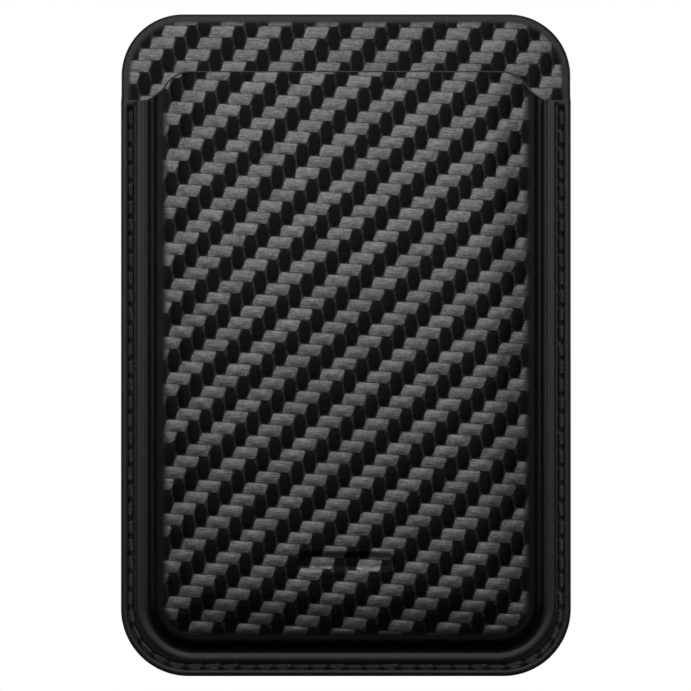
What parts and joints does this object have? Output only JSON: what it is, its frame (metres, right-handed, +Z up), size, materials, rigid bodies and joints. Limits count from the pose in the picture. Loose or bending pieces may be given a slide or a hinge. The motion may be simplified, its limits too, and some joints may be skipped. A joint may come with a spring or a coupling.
{
  "type": "magnetic card wallet",
  "caption": "Slim upright card wallet with a formed, stitched front pocket, dropped shoulders at the mouth, a thumb slot in the back and a hidden magnet ring.",
  "frame": {"origin": "centre of the magnet ring, on the face that touches the phone", "axes": "+Z up towards the pocket's mouth, +Y out of the phone-side face, +X to the right seen from the front"},
  "size_m": [0.0652, 0.007, 0.096],
  "materials": {
    "woven_leather": "coated leather embossed with a satin black carbon-style twill",
    "back_leather": "smooth matt black coated leather with a fine grain",
    "lining": "thin black woven lining",
    "board": "dense grey-brown bookbinding board",
    "glue": "dry contact adhesive film",
    "tape": "thin double-sided tape",
    "magnet": "nickel-plated neodymium magnet",
    "steel": "thin cold-rolled steel sheet",
    "edge_paint": "satin black leather edge paint",
    "thread": "black bonded polyester thread"
  },
  "bodies": {
    "root": {"front_skin": "woven_leather", "divider_skin": "woven_leather", "back_skin": "back_leather", "front_lining": "lining", "front_board": "board", "core_board": "board", "core_disc": "board", "shield_surround": "board", "board_glue": "glue", "divider_glue": "glue", "back_glue": "glue", "magnet_tape": "tape", "bar_tape": "tape", "ring_magnets": "magnet", "alignment_magnets": "magnet", "ring_yoke": "steel", "bar_yoke": "steel", "shield_plate": "steel", "mouth_edge_paint": "edge_paint", "perimeter_edge_paint": "edge_paint", "slot_edge_paint": "edge_paint", "needle_thread": "thread", "bobbin_thread": "thread"}
  },
  "joints": []
}
